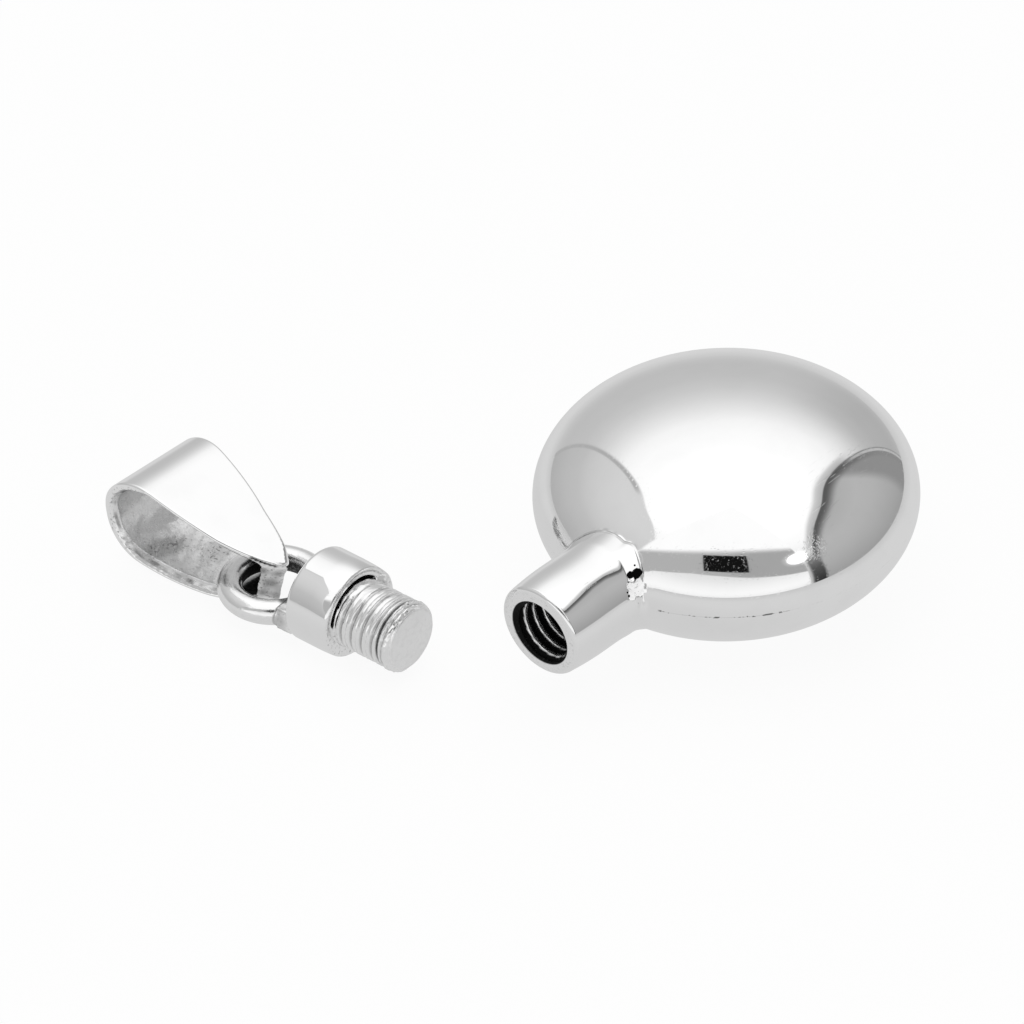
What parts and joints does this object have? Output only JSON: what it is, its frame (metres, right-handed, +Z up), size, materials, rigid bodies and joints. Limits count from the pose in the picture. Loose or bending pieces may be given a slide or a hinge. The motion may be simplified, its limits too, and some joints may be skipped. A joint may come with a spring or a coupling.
{
  "type": "perfume bottle pendant",
  "caption": "Round hollow silver perfume bottle pendant with a threaded neck; its screw stopper lies beside it with a soldered eye and a tapered folded bail.",
  "frame": {"origin": "on the surface that the pieces lie on, under the middle of their common box", "axes": "+X from the bail to the bottle, +Z up, away from the surface that the pieces lie on"},
  "size_m": [0.0445, 0.0235, 0.0114],
  "materials": {
    "bottle_silver": "mirror-polished silver with fine scratches",
    "stopper_silver": "polished silver collar and eye, stem left as cut",
    "bail_silver": "polished silver outside, matt grey and pitted inside"
  },
  "bodies": {
    "root": {"bottle": "bottle_silver", "stopper": "stopper_silver", "bail": "bail_silver"}
  },
  "joints": []
}
